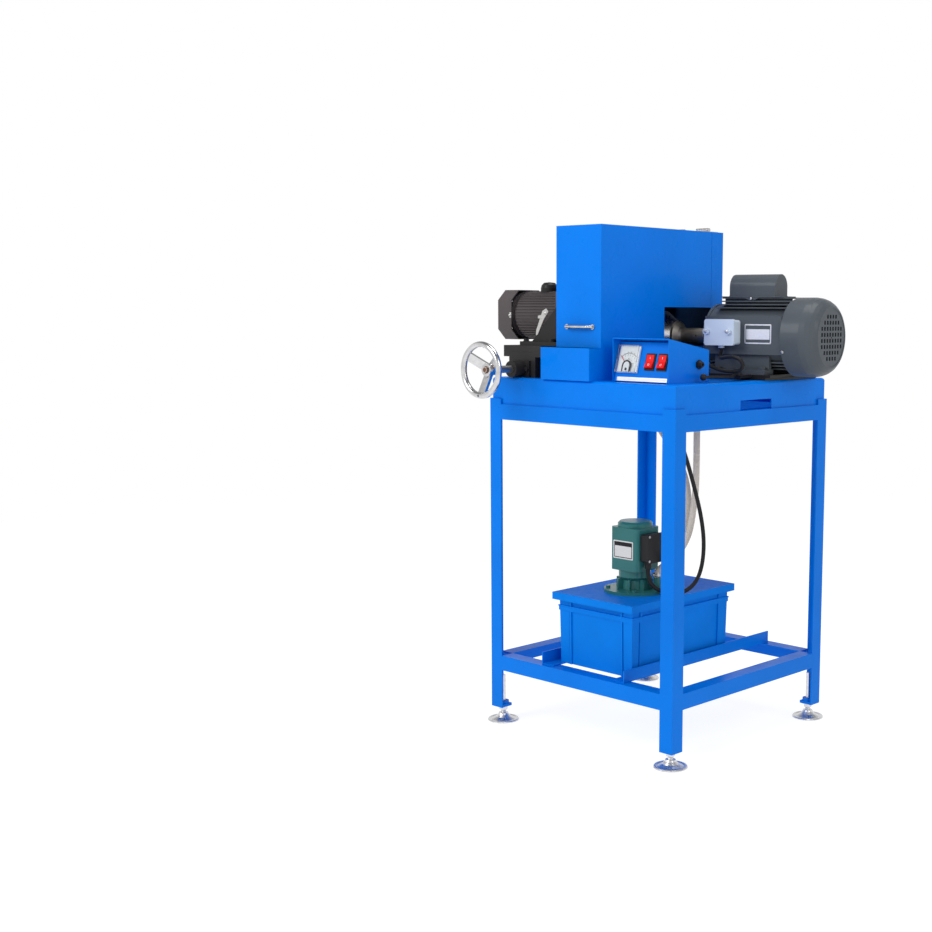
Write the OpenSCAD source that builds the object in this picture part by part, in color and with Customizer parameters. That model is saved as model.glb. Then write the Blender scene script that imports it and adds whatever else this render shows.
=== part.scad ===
// Wet grinding sharpener: angle-iron stand, bed, blade head on a cross slide,
// cup-wheel grinding motor, control box and coolant tank with its pump.
// X runs to the right along the front, Y to the back, Z up from the floor.

/* [Stand] */
// Outer width of the stand, left to right
stand_w = 600; // [500:10:800]
// Outer depth of the stand, front to back
stand_d = 600; // [500:10:800]
// Flange width of the leg and rail angle iron
angle_w = 38; // [30:1:50]
// Flange thickness of the angle iron
angle_t = 4; // [3:0.5:6]
// Height of the leg tops above the floor
leg_top = 836; // [700:1:950]
// Height of the leg bottoms above the floor
leg_bottom = 46; // [35:1:70]
// Height of the top face of the lower rails
low_rail_top = 183; // [120:1:260]
// Height of the top face of the upper rails
up_rail_top = 822; // [700:1:940]
// Diameter of a levelling foot's pad
foot_d = 80; // [50:1:100]
// Radius of a levelling foot's threaded stud
stud_r = 6; // [4:0.5:10]

/* [Bed and guards] */
// Height of the bed's top face above the floor
bed_z = 889; // [800:1:1000]
// Sheet thickness of the bed pan
bed_t = 3; // [2:0.5:5]
// Height of the splash basin's rim above the bed
basin_h = 77; // [50:1:120]
// Left outer face of the splash basin
basin_x0 = 180; // [150:1:220]
// Right outer face of the splash basin
basin_x1 = 339; // [300:1:380]
// Height of the hood above the basin rim
hood_h = 287; // [220:1:340]
// Front face of the hood
hood_y0 = 38; // [30:1:60]
// Rear edge of the hood
hood_y1 = 453; // [400:1:480]
// Radius of the hood hinge barrels
barrel_r = 5; // [3:0.5:6]

/* [Cross slide and blade head] */
// Centre line of the cross slide
slide_x = 76; // [60:1:90]
// Length of the cross slide's base
slide_l = 400; // [300:10:450]
// Length of the saddle
saddle_l = 220; // [160:10:260]
// Height of the lead screw above the floor
screw_z = 910; // [900:1:925]
// Outer diameter of the handwheel
wheel_d = 138; // [100:1:160]
// Distance of the blade's centre from the stand's front
blade_y = 175; // [160:1:200]
// Height of the blade's centre above the floor
blade_z = 1042; // [1000:1:1080]
// Diameter of the circular blade
blade_d = 200; // [150:5:240]
// Thickness of the blade
blade_t = 6; // [3:0.5:10]
// Width of the bevelled band at the blade's rim
bevel_w = 12.5; // [8:0.5:20]

/* [Grinding motor] */
// Swing of the grinding axis, in degrees from the X direction
motor_turn = 7; // [0:0.5:20]
// Height of the grinding axis above the floor
motor_z = 992; // [960:1:1020]
// Radius of the cup wheel
cup_r = 62.5; // [50:0.5:75]
// Radius of the motor's fan cowl
cowl_r = 95.5; // [80:1:110]
// Radius of the motor shaft
shaft_r = 12; // [9:0.5:15]

/* [Control box] */
// Width of the control box
box_w = 170; // [140:1:200]
// Depth of the control box
box_d = 146; // [120:1:180]
// Height of the control box at its front
box_h = 102; // [80:1:120]
// Lean of the control panel, in degrees from upright
panel_lean = 15; // [0:1:30]

/* [Coolant] */
// Width of the tank lid
lid_w = 262; // [220:1:300]
// Depth of the tank lid
lid_d = 396; // [340:1:420]
// Height of the lid's top face above the floor
lid_z = 365; // [300:1:420]
// Radius of the pump's flange
pump_r = 76; // [55:1:80]
// Outer radius of the clear coolant hoses
hose_r = 8; // [5:0.5:10]

/* [Hidden] */
// Handwheel plane in front of the stand, and the motor cowl's rear edge
wheel_y = -100;
cowl_end = 488;
// Floor level under the levelling feet, in the stand's own heights
floor_z = 9;
// Stud centre, inside each leg corner
stud_in = angle_t + 17;
// Extremes of the machine; the middle of its footprint is the origin
reach_left = -89;
reach_right = 218 + cowl_end * cos(motor_turn) + (cowl_r - 22) * sin(motor_turn);
reach_front = wheel_y - 7.5;
reach_back = stand_d - stud_in + foot_d / 2;
mid_x = (reach_left + reach_right) / 2;
mid_y = (reach_front + reach_back) / 2;
basin_z = bed_z + basin_h;
hood_z = basin_z + hood_h;
hinge_y = hood_y1 + 3;
hinge_z = hood_z + barrel_r + 0.3;
guard_y1 = 500;
basin_y0 = -2;
// Cup wheel face centre
cup_x = 218;
cup_y = 400;
// Right face of the blade, and the pieces stacked behind it
blade_x = 218.6;
flange_x = blade_x - blade_t;
plate_x0 = 181;
plate_x1 = 193;
bevel_drop = bevel_w * tan(motor_turn);
// Cross slide levels
dove_z = bed_z + 50;
saddle_z = bed_z + 78;
slide_y0 = 37;
// Control box corner
box_x = 375;
box_y = 40;
box_rear_h = 75;
// Panel instruments, from the panel's lower left corner
meter_x = 7;
meter_y = 20;
meter_w = 62;
meter_h = 64;
needle_y = 16;
rocker_x = [103.5, 140];
rocker_y = 47;
// Levels in the grinding motor, from its axis
foot_h = -90;
plate_h = -97;
// Tank and pump
lid_x = 187;
lid_y = 31;
tank_z = low_rail_top + 3;
pump_x = 326;
pump_y = 181;
$fn = 64;

// Route of the clear hose from the pump to the elbow behind the guard
supply_route = [
    [383, 199, 404.3], [383, 199, 410], [389, 201, 424], [412, 210, 446],
    [440, 223, 480],
    [451, 238, 520], [451, 252, 570], [450, 262, 620], [450, 264, 690],
    [450, 264, 760], [449, 268, 815], [440, 290, 846], [412, 345, 853],
    [374, 415, 853], [335, 485, 853], [308, 519, 862], [300, 524, 889],
    [300, 524, 940], [300, 524, 1010], [300, 524, 1080], [300, 524, 1150],
    [300, 524, 1170]
];
// Route of the clear return hose from the basin drain to the tank
return_route = [
    [258, 300, 847.7], [258, 300, 840], [264, 300, 812], [290, 298, 775], [335, 292, 730],
    [380, 282, 685], [412, 272, 635], [425, 266, 580], [418, 262, 525],
    [400, 260, 470], [386, 260, 420], [380, 260, 385], [380, 260, 340]
];
// Route of the black lead from the pump to the control box
pump_route = [
    [383, 165, 430.8], [383, 165, 425], [384, 165, 413], [391, 166, 394], [408, 176, 379],
    [430, 196, 372], [456, 216, 376], [480, 230, 402], [495, 234, 445],
    [501, 232, 500], [502, 220, 560], [501, 196, 630], [498, 164, 710],
    [490, 140, 770], [476, 124, 830], [464, 120, 870], [460, 120, 896]
];
// Route of the black lead from the motor's terminal box to the control box
motor_route = [
    [468.2, 331.9, 965], [468.2, 331.9, 958], [475, 319, 946], [498, 294, 942],
    [528, 272, 945], [556, 264, 947], [577, 264, 940], [583, 266, 926],
    [572, 266, 914], [550, 260, 912], [530, 246, 916], [519, 222, 926],
    [514, 203, 934], [514, 187, 936]
];

// Puts machine coordinates on the origin
module place()
{
    translate([-mid_x, -mid_y, -floor_z])
        children();
}

// Frame of the grinding motor: +X along its axis away from the blade
module motor_frame()
{
    translate([cup_x, cup_y, motor_z])
        rotate([0, 0, motor_turn])
            children();
}

// Frame of the control panel: X right, Y up the panel, Z out of it
module panel_frame()
{
    translate([box_x, box_y + 3, bed_z + 2])
        rotate([90 - panel_lean, 0, 0])
            children();
}

// Cylinders along X and along Y
module cyl_x(x, y, z, r, l)
{
    translate([x, y, z])
        rotate([0, 90, 0])
            cylinder(r = r, h = l);
}

module cyl_y(x, y, z, r, l)
{
    translate([x, y, z])
        rotate([-90, 0, 0])
            cylinder(r = r, h = l);
}

// Cone or rod between two points
module cone_between(a, b, r1, r2)
{
    v = b - a;
    translate(a)
        rotate([0, acos(v[2] / norm(v)), atan2(v[1], v[0])])
            cylinder(r1 = r1, r2 = r2, h = norm(v), $fn = 24);
}

// Turned shape about the X axis from [position, radius] points
module turned_x(points)
{
    rotate([0, 90, 0])
        rotate_extrude()
            polygon([for (p = points) [p[1], p[0]]]);
}

// Block between two corners
module block(a, b)
{
    translate(a)
        cube(b - a);
}

// Hexagon prism by its width across flats
module hex_prism(af, h)
{
    cylinder(d = af / cos(30), h = h, $fn = 6);
}

// Square with rounded corners, centred
module round_square(w, d, r)
{
    hull()
        for (sx = [-1, 1], sy = [-1, 1])
            translate([sx * (w / 2 - r), sy * (d / 2 - r)])
                circle(r);
}

// Unit direction between two route points
function unit(v) = v / norm(v);
function along(p, i) =
    unit(p[min(i + 1, len(p) - 1)] - p[max(i - 1, 0)]);
function side_of(t) = unit(cross(t, abs(t[1]) < 0.9 ? [0, 1, 0] : [1, 0, 0]));

// Tube swept along a route as one polyhedron
module sweep(p, r, n)
{
    pts = [for (i = [0 : len(p) - 1])
        let (t = along(p, i), a = side_of(t), b = cross(t, a))
        for (k = [0 : n - 1])
            p[i] + r * cos(360 * k / n) * a + r * sin(360 * k / n) * b];
    last = (len(p) - 1) * n;
    walls = [for (i = [0 : len(p) - 2], k = [0 : n - 1])
        let (m = (k + 1) % n)
            [i * n + k, i * n + m, (i + 1) * n + m, (i + 1) * n + k]];
    caps = [[for (k = [0 : n - 1]) n - 1 - k], [for (k = [0 : n - 1]) last + k]];
    polyhedron(points = pts, faces = concat(walls, caps), convexity = 6);
}

// ---- Stand ----

module leg_at(fx, fy)
{
    translate([fx ? stand_w : 0, fy ? stand_d : 0, 0])
        mirror([fx ? 1 : 0, 0, 0])
            mirror([0, fy ? 1 : 0, 0])
                leg();
}

module leg()
{
    difference() {
        union() {
            block([0, 0, leg_bottom], [angle_w, angle_t, leg_top]);
            block([0, 0, leg_bottom], [angle_t, angle_w, leg_top]);
            block([1, 1, leg_bottom], [angle_w - 2, angle_w - 2, leg_bottom + 7]);
            translate([stud_in, stud_in, leg_bottom])
                cylinder(r = 14, h = 14);
        }
        translate([stud_in, stud_in, leg_bottom - 1])
            cylinder(r = stud_r + 0.05, h = 30);
    }
}

module leg_angles()
color([0.02, 0.42, 0.88])
place()
{
    for (fx = [0, 1], fy = [0, 1])
        leg_at(fx, fy);
}

// Four rails with the vertical flange outside and a flat flange on top
module rail_ring(top)
{
    low = top - angle_w;
    in_t = top - angle_t;
    for (fy = [0, 1])
        translate([0, fy * stand_d, 0])
            mirror([0, fy, 0]) {
                block([angle_w, 0, low], [stand_w - angle_w, angle_t, top]);
                block([angle_w, 0, in_t], [stand_w - angle_w, angle_w, top]);
            }
    for (fx = [0, 1])
        translate([fx * stand_w, 0, 0])
            mirror([fx, 0, 0]) {
                block([0, angle_w, low], [angle_t, stand_d - angle_w, top]);
                block([0, angle_w, in_t], [angle_w, stand_d - angle_w, top]);
            }
}

module upper_rails()
color([0.02, 0.42, 0.88])
place()
    rail_ring(up_rail_top);

// Two angle runners that carry the tank
module tank_runner()
{
    block([0, 12, low_rail_top], [3, stand_d - 12, low_rail_top + 30]);
    block([0, 12, low_rail_top], [40, stand_d - 12, low_rail_top + 3]);
}

module lower_rails()
color([0.02, 0.42, 0.88])
place()
{
    rail_ring(low_rail_top);
    translate([170, 0, 0])
        tank_runner();
    translate([442, 0, 0])
        mirror([1, 0, 0])
            tank_runner();
}

// Levelling foot: pressed pad, stud and lock nut against the leg
module foot()
{
    rotate_extrude()
        polygon([[0, 0], [foot_d / 2, 0], [foot_d / 2, 2.5], [foot_d / 2 - 2, 4.5],
                 [foot_d / 2 - 6, 4.5], [foot_d / 2 - 9, 3.5], [28, 4.5], [19, 9],
                 [14, 15], [12, 19], [stud_r, 19], [stud_r, 118], [0, 118]]);
    difference() {
        translate([0, 0, leg_bottom - floor_z - 10])
            hex_prism(19, 10);
        translate([0, 0, leg_bottom - floor_z - 11])
            cylinder(r = stud_r - 0.5, h = 12);
    }
}

module foot_at(fx, fy)
{
    translate([fx ? stand_w - stud_in : stud_in, fy ? stand_d - stud_in : stud_in, floor_z])
        foot();
}

module foot_front_left() color([0.8, 0.8, 0.82]) place() foot_at(0, 0);
module foot_front_right() color([0.8, 0.8, 0.82]) place() foot_at(1, 0);
module foot_rear_left() color([0.8, 0.8, 0.82]) place() foot_at(0, 1);
module foot_rear_right() color([0.8, 0.8, 0.82]) place() foot_at(1, 1);

// ---- Bed, basin and guards ----

// Outline of the pan in one direction, with rolled upper edges
module pan_outline(a, b, top, r)
{
    translate([a, up_rail_top])
        square([b - a, top - r - up_rail_top]);
    translate([a + r, up_rail_top])
        square([b - a - 2 * r, top - up_rail_top]);
    for (x = [a + r, b - r])
        translate([x, top - r])
            circle(r);
}

module pan_solid(inset, top, r)
{
    intersection() {
        translate([0, stand_d, 0])
            rotate([90, 0, 0])
                linear_extrude(stand_d)
                    pan_outline(inset, stand_w - inset, top, r);
        rotate([90, 0, 90])
            linear_extrude(stand_w)
                pan_outline(inset, stand_d - inset, top, r);
    }
}

module bed_pan()
color([0.02, 0.45, 0.92])
place()
difference() {
    pan_solid(5, bed_z, 8);
    translate([0, 0, -0.01])
        pan_solid(5 + bed_t, bed_z - bed_t, 5);
    block([580, 244, up_rail_top - 1], [620, 368, up_rail_top + 24]);
    translate([258, 300, bed_z - 10])
        cylinder(r = 12.5, h = 20);
    translate([300, 524, bed_z - 10])
        cylinder(r = 11, h = 20);
    translate([460, 120, bed_z - 10])
        cylinder(r = 9, h = 20);
}

module splash_basin()
color([0.02, 0.45, 0.92])
place()
difference() {
    union() {
        block([basin_x0, basin_y0, bed_z], [basin_x1, guard_y1, basin_z]);
        translate([258, 300, bed_z - 41])
            cylinder(r = 10, h = 42);
    }
    block([basin_x0 + 2, basin_y0 + 2, bed_z + 2], [basin_x1 - 2, guard_y1 - 2, basin_z + 1]);
    translate([258, 300, bed_z - 42])
        cylinder(r = 7.5, h = 50);
}

module rear_guard()
color([0.02, 0.40, 0.86])
place()
difference() {
    block([basin_x0, hood_y1 + 1, basin_z], [basin_x1, guard_y1, hood_z]);
    block([basin_x0 + 2, hood_y1, basin_z - 1], [basin_x1 - 2, guard_y1 - 2, hood_z - 2]);
    cyl_y(300, 490, 1188, 7.5, 20);
}

// Hinge knuckle pieces; x0 is the left end of a 40 mm hinge
module fixed_leaf(x0)
{
    y = hinge_y;
    difference() {
        union() {
            block([x0, y + 4.5, hood_z], [x0 + 40, y + 36, hood_z + 2]);
            for (x = [x0, x0 + 27])
                block([x, y, hood_z + 0.3], [x + 13, y + 5, hood_z + 2]);
            for (x = [x0, x0 + 27])
                cyl_x(x, y, hinge_z, barrel_r, 13);
        }
        cyl_x(x0 - 1, y, hinge_z, 2, 42);
    }
    cyl_x(x0, y, hinge_z, 2, 40);
}

module moving_leaf(x0)
{
    y = hinge_y;
    difference() {
        union() {
            block([x0, y - 42, hood_z], [x0 + 40, y - 4.5, hood_z + 2]);
            block([x0 + 13.3, y - 5, hood_z + 0.3], [x0 + 26.7, y, hood_z + 2]);
            cyl_x(x0 + 13.3, y, hinge_z, barrel_r, 13.4);
        }
        cyl_x(x0 - 1, y, hinge_z, 2.05, 42);
    }
}

module hinge_frame_leaves()
color([0.75, 0.75, 0.78])
place()
{
    fixed_leaf(208);
    fixed_leaf(288);
}

module hinge_hood_leaves()
color([0.75, 0.75, 0.78])
place()
{
    moving_leaf(208);
    moving_leaf(288);
}

// Hood: open below and behind, with a wheel opening on the right side
// and a slot on the left side for the moving blade head
module hood()
color([0.02, 0.48, 0.95])
place()
difference() {
    block([plate_x1 + 0.5, hood_y0, basin_z], [basin_x1, hood_y1, hood_z]);
    block([plate_x1 + 2, hood_y0 + 1.5, basin_z - 1],
          [basin_x1 - 1.5, hood_y1 + 1, hood_z - 1.5]);
    block([basin_x1 - 5, 269, basin_z - 1], [basin_x1 + 1, hood_y1 + 1, basin_z + 97]);
    block([plate_x1 - 1, 50, basin_z - 1], [plate_x1 + 5, hood_y1 + 1, basin_z + 229]);
}

module hood_handle()
color([0.85, 0.85, 0.87])
place()
{
    z = basin_z + 49;
    for (e = [[231, 240], [314, 305]]) {
        cyl_y(e[0], hood_y0 - 3, z, 6, 3);
        cone_between([e[0], hood_y0 - 2.9, z], [e[1], hood_y0 - 14, z], 4, 4);
        translate([e[1], hood_y0 - 14, z])
            sphere(r = 4);
    }
    cyl_x(240, hood_y0 - 14, z, 4, 65);
}

// ---- Cross slide ----

module slide_base()
color([0.06, 0.06, 0.07])
place()
difference() {
    translate([slide_x, slide_y0 + slide_l, 0])
        rotate([90, 0, 0])
            linear_extrude(slide_l)
                polygon([[-46, bed_z], [46, bed_z], [46, dove_z], [28, dove_z],
                         [35, dove_z + 12], [-35, dove_z + 12], [-28, dove_z],
                         [-46, dove_z]]);
    block([slide_x - 16, slide_y0 + 8, screw_z - 12],
          [slide_x + 16, slide_y0 + slide_l - 8, dove_z + 20]);
    cyl_y(slide_x, slide_y0 - 1, screw_z, 9.05, slide_l + 2);
}

module screw_bearing()
color([0.10, 0.10, 0.11])
place()
difference() {
    union() {
        cyl_y(slide_x, slide_y0 - 39, screw_z, 20, 39);
        block([slide_x - 30, slide_y0 - 6, bed_z + 1], [slide_x + 30, slide_y0, bed_z + 41]);
        for (sx = [-1, 1])
            translate([slide_x + sx * 24, slide_y0 - 6, screw_z])
                rotate([90, 0, 0])
                    hex_prism(10, 5);
    }
    cyl_y(slide_x, slide_y0 - 40, screw_z, 9.05, 42);
}

module saddle()
color([0.09, 0.09, 0.10])
place()
difference() {
    union() {
        block([slide_x - 65, slide_y0, dove_z + 0.1],
              [slide_x + 65, slide_y0 + saddle_l, saddle_z]);
        block([slide_x - 14, slide_y0 + 90, screw_z - 11],
              [slide_x + 14, slide_y0 + 130, dove_z + 20]);
    }
    for (y = [slide_y0 - 1, slide_y0 + 130])
        saddle_groove(y, slide_y0 + (y < slide_y0 ? 90 : saddle_l + 1) - y);
    saddle_groove_sides();
    cyl_y(slide_x, slide_y0, screw_z, 8.05, saddle_l);
}

// Dovetail groove along a stretch of the saddle
module saddle_groove(y, l)
{
    translate([slide_x, y + l, 0])
        rotate([90, 0, 0])
            linear_extrude(l)
                polygon([[-28.2, dove_z], [28.2, dove_z], [35.2, dove_z + 12.2],
                         [-35.2, dove_z + 12.2]]);
}

// The groove either side of the nut block
module saddle_groove_sides()
{
    translate([slide_x, slide_y0 + 131, 0])
        rotate([90, 0, 0])
            linear_extrude(42)
                for (s = [-1, 1])
                    polygon([[s * 14, dove_z], [s * 28.2, dove_z],
                             [s * 35.2, dove_z + 12.2], [s * 14, dove_z + 12.2]]);
}

module lead_screw()
color([0.55, 0.56, 0.58])
place()
{
    cyl_y(slide_x, -84, screw_z, 9, slide_y0 + 90);
    cyl_y(slide_x, slide_y0 + 4, screw_z, 8, slide_l - 6);
    cyl_y(slide_x, -89, screw_z, 7, 6);
}

// Three-spoke dished handwheel on the front end of the screw
module handwheel()
color([0.85, 0.85, 0.87])
place()
translate([slide_x, 0, screw_z])
rotate([90, 0, 0])
difference() {
    union() {
        translate([0, 0, -wheel_y])
            rotate_extrude()
                translate([wheel_d / 2 - 7.5, 0])
                    circle(r = 7.5);
        translate([0, 0, 56])
            cylinder(r1 = 13, r2 = 16, h = 28);
        for (a = [27, 147, 267])
            rotate([0, 0, a])
                translate([12, -11, 70])
                    rotate([0, -24, 0])
                        cube([50, 22, 8]);
    }
    translate([0, 0, 50])
        cylinder(r = 9, h = 40);
    rotate([0, 0, 267])
        translate([wheel_d / 2 - 7, 0, 80])
            cylinder(r = 3, h = 40);
}

// ---- Blade head ----

module head_bracket()
color([0.07, 0.07, 0.08])
place()
{
    block([60, 45, saddle_z], [plate_x1, 305, saddle_z + 10]);
    for (y = [60, 282])
        translate([0, y + 8, 0])
            rotate([90, 0, 0])
                linear_extrude(8)
                    polygon([[88, saddle_z + 10], [plate_x0, saddle_z + 10],
                             [plate_x0, saddle_z + 104]]);
}

module head_plate()
color([0.05, 0.05, 0.06])
place()
difference() {
    union() {
        block([plate_x0, 52, saddle_z + 10], [plate_x1, 315, basin_z + 224]);
        cyl_x(plate_x1 - 1, blade_y, blade_z, 30, 9);
    }
    cyl_x(plate_x0 - 1, blade_y, blade_z, 12.05, 40);
}

// Geared motor: round ribbed body and a square gearbox
module gearmotor_body()
color([0.30, 0.27, 0.28])
place()
difference() {
    union() {
        translate([-28, blade_y, blade_z])
            rotate([0, 90, 0])
                linear_extrude(146)
                    union() {
                        circle(r = 57);
                        for (a = [0 : 7.5 : 359])
                            rotate(a)
                                translate([56, -1.2])
                                    square([4, 2.4]);
                    }
        translate([112, blade_y, blade_z])
            rotate([0, 90, 0])
                linear_extrude(plate_x0 - 112)
                    round_square(118, 118, 12);
        cyl_x(-62, blade_y, blade_z, 50, 36);
        cyl_x(-50, blade_y, blade_z, 60.3, 9);
    }
    cyl_x(130, blade_y, blade_z, 12.05, 60);
}

module gearmotor_fan_cover()
color([0.33, 0.31, 0.32])
place()
difference() {
    translate([-89, blade_y, blade_z])
        rotate([0, 90, 0])
            linear_extrude(49)
                cover_outline(63, 26);
    translate([-86.5, blade_y, blade_z])
        rotate([0, 90, 0])
            linear_extrude(60)
                cover_outline(60.5, 25);
    for (k = [-3 : 3])
        block([-92, blade_y - sqrt(1600 - 121 * k * k), blade_z + 11 * k - 2.5],
              [-80, blade_y + sqrt(1600 - 121 * k * k), blade_z + 11 * k + 2.5]);
}

// Square of half width h with cut corners
module cover_outline(h, c)
{
    polygon([[-h + c, -h], [h - c, -h], [h, -h + c], [h, h - c],
             [h - c, h], [-h + c, h], [-h, h - c], [-h, -h + c]]);
}

// Socket bolts on the plate, foot bolts and the motor's cable cap
module head_fittings()
color([0.08, 0.08, 0.09])
place()
{
    for (y = [-110, 122], z = [-62, 40])
        difference() {
            union() {
                cyl_x(plate_x1, blade_y + y, blade_z + z, 8, 2);
                cyl_x(plate_x1 + 1, blade_y + y, blade_z + z, 6.5, 9);
            }
            translate([plate_x1 + 5, blade_y + y, blade_z + z])
                rotate([0, 90, 0])
                    hex_prism(6, 6);
        }
    for (x = [76, 165], y = [52, 298])
        translate([x, y, saddle_z + 10]) {
            cylinder(r = 8, h = 1.5);
            hex_prism(12, 7);
        }
    difference() {
        translate([35, blade_y, blade_z + 50])
            rotate_extrude()
                polygon([[0, 0], [22, 0], [22, 18], [20, 25], [14, 31], [0, 33]]);
        cyl_x(0, blade_y, blade_z, 60.02, 70);
    }
}

module spindle()
color([0.50, 0.50, 0.52])
place()
translate([0, blade_y, blade_z])
difference() {
    turned_x([[132, 0], [132, 12], [203, 12], [203, 36], [206, 38],
              [flange_x, 38], [flange_x, 12.5], [flange_x + 9, 12.5], [flange_x + 9, 0]]);
    cyl_x(180, 0, 0, 6, 60);
}

module blade()
color([0.52, 0.50, 0.49])
place()
translate([0, blade_y, blade_z])
turned_x([[flange_x, 12.55], [flange_x, blade_d / 2],
          [blade_x - bevel_drop, blade_d / 2], [blade_x, blade_d / 2 - bevel_w],
          [blade_x, 12.55]]);

module blade_clamp()
color([0.72, 0.72, 0.72])
place()
translate([0, blade_y, blade_z])
turned_x([[blade_x, 12.55], [blade_x, 40], [blade_x + 2, 40], [blade_x + 16, 27],
          [blade_x + 16, 6.1], [blade_x + 4, 6.1], [blade_x + 4, 12.55]]);

module blade_screw()
color([0.10, 0.10, 0.11])
place()
translate([0, blade_y, blade_z])
difference() {
    turned_x([[185, 0], [185, 5.95], [blade_x + 16, 5.95], [blade_x + 16, 12],
              [blade_x + 18, 12], [blade_x + 18, 9], [blade_x + 30, 9], [blade_x + 30, 0]]);
    translate([blade_x + 23, 0, 0])
        rotate([0, 90, 0])
            hex_prism(10, 10);
}

// ---- Grinding motor ----

module swivel_base()
color([0.06, 0.06, 0.07])
place()
union() {
    block([345, 345, bed_z], [592, 560, bed_z + 6]);
    motor_frame()
        translate([270, 0, bed_z + 5 - motor_z])
            cylinder(r = 12, h = 8);
}

module motor_plate()
color([0.08, 0.08, 0.09])
place()
motor_frame()
difference() {
    union() {
        block([165, -90, plate_h], [372, 90, foot_h]);
        block([290, -146, plate_h], [322, -85, foot_h]);
    }
    translate([270, 0, plate_h - 1])
        cylinder(r = 12.05, h = 20);
    translate([306, -132, plate_h - 1])
        cylinder(r = 5.05, h = 20);
}

// Stator frame with cooling fins, flat sides, feet and both end shields
module motor_body()
color([0.27, 0.29, 0.32])
place()
motor_frame()
difference() {
    union() {
        cyl_x(182, 0, 0, 78, 216);
        for (h = [-77, -69, -61])
            fin(186, 87, h);
        for (f = [[70, 58], [78, 46], [86, 36], [94, 29]])
            block([200, -f[1], f[0] - 1.5], [396, f[1], f[0] + 1.5]);
        block([200, -14, 70], [396, 14, 94]);
        block([184, -83, -42], [396, 83, 50]);
        for (s = [-1, 1]) {
            block([205, s * 68 - 22, foot_h], [356, s * 68 + 22, foot_h + 12]);
            block([205, s * 62 - 6, foot_h], [356, s * 62 + 6, -40]);
        }
        for (x = [218, 343], s = [-1, 1])
            translate([x, s * 76, foot_h + 12])
                hex_prism(13, 6);
        turned_x([[150, 12.05], [150, 34], [158, 36], [162, 46], [170, 68],
                  [176, 80], [183, 80], [183, 12.05]]);
        turned_x([[396, 12.05], [396, 78], [402, 78], [406, 40], [410, 12.05]]);
    }
    cyl_x(186, 0, 0, 60, 208);
    cyl_x(140, 0, 0, 12.05, 300);
}

// One pair of fins at height h, tips at radius r, starting at x0
module fin(x0, r, h)
{
    w = sqrt(r * r - (abs(h) + 1.5) * (abs(h) + 1.5));
    block([x0, -w, h - 1.5], [396, w, h + 1.5]);
}

module motor_cowl()
color([0.29, 0.31, 0.34])
place()
motor_frame()
union() {
    turned_x([[398, cowl_r], [446, cowl_r], [460, cowl_r - 2], [471, cowl_r - 6],
              [480, cowl_r - 12], [486, cowl_r - 18.5], [cowl_end, cowl_r - 22],
              [cowl_end, cowl_r - 26], [485, cowl_r - 26], [477, cowl_r - 13],
              [469, cowl_r - 8], [459, cowl_r - 4], [446, cowl_r - 2],
              [398, cowl_r - 2]]);
    translate([cowl_end - 3, 0, 0])
        rotate([0, 90, 0])
            linear_extrude(2)
                grille(cowl_r - 25);
    for (a = [21, 111, 201, 291])
        rotate([a, 0, 0])
            block([398, 78, -5], [406, cowl_r - 1, 5]);
}

// Disc with rows of square vent holes
module grille(r)
{
    difference() {
        circle(r);
        for (i = [-3.5 : 3.5], j = [-3.5 : 3.5])
            if (norm([i, j]) * 14.3 < 60)
                translate([i * 14.3 - 4.6, j * 14.3 - 4])
                    square([9.2, 8]);
        circle(2.2);
    }
}

module capacitor_cover()
color([0.27, 0.28, 0.31])
place()
motor_frame()
union() {
    difference() {
        translate([222, 0, 0])
            rotate([90, 0, 90])
                linear_extrude(127)
                    loaf(31, 98);
        translate([224, 0, 0])
            rotate([90, 0, 90])
                linear_extrude(123)
                    loaf(29, 90);
    }
    for (s = [-1, 1])
        rotate([90, 0, 0])
            translate([0, 0, -s * 32 - 1])
                linear_extrude(2)
                    polygon([[222, 100], [222, 95.6], [262, 95.6], [279, 88.5],
                             [291, 88.5], [308, 95.6], [349, 95.6], [349, 100]]);
    block([201, -34, 95.6], [371, 34, 98.2]);
    for (s = [-1, 1])
        cyl_y(285, s * 35 - 2, 92.2, 3.2, 4);
}

// Half-round topped outline of half width w, standing on height z0
module loaf(w, z0)
{
    intersection() {
        union() {
            translate([-w, 60])
                square([2 * w, 61]);
            translate([0, 121])
                circle(w);
        }
        translate([-w, z0])
            square([2 * w, 100]);
    }
}

module terminal_box()
color([0.70, 0.78, 0.88])
place()
motor_frame()
union() {
    translate([244, -83, 11])
        rotate([90, 0, 0])
            linear_extrude(26)
                round_square(79, 59, 6);
    translate([244, -109, 11])
        rotate([90, 0, 0])
            linear_extrude(9)
                round_square(83, 63, 6);
    for (x = [210, 270]) {
        translate([x, -117, 13])
            rotate([90, 0, 0])
                cylinder(r = 8, h = 7);
        translate([x, -123, 13])
            rotate([90, 0, 0])
                cylinder(r = 4.5, h = 3);
    }
    translate([240, -98, -27])
        cylinder(r = 7.5, h = 9);
}

// Rotor: shaft, iron core and the fan behind the rear end shield
module rotor_shaft()
color([0.60, 0.60, 0.62])
place()
motor_frame()
{
    cyl_x(94, 0, 0, shaft_r, 356);
    cyl_x(215, 0, 0, 48, 150);
    cyl_x(418, 0, 0, 24, 26);
    for (a = [0 : 60 : 300])
        rotate([a, 0, 0])
            block([420, 20, -1.5], [442, 72, 1.5]);
}

module wheel_adapter()
color([0.55, 0.52, 0.48])
place()
motor_frame()
difference() {
    union() {
        turned_x([[22, 0], [22, 10], [50, 10], [50, 36], [57, 36], [60, 32],
                  [66, 24], [73, 20], [80, 19], [142, 19], [142, 0]]);
        translate([27, 0, 0])
            rotate([0, 90, 0])
                hex_prism(30, 13);
    }
    cyl_x(94, 0, 0, shaft_r, 60);
    translate([118, 0, 0])
        rotate([90, 0, 0])
            cylinder(r = 3, h = 30);
}

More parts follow.
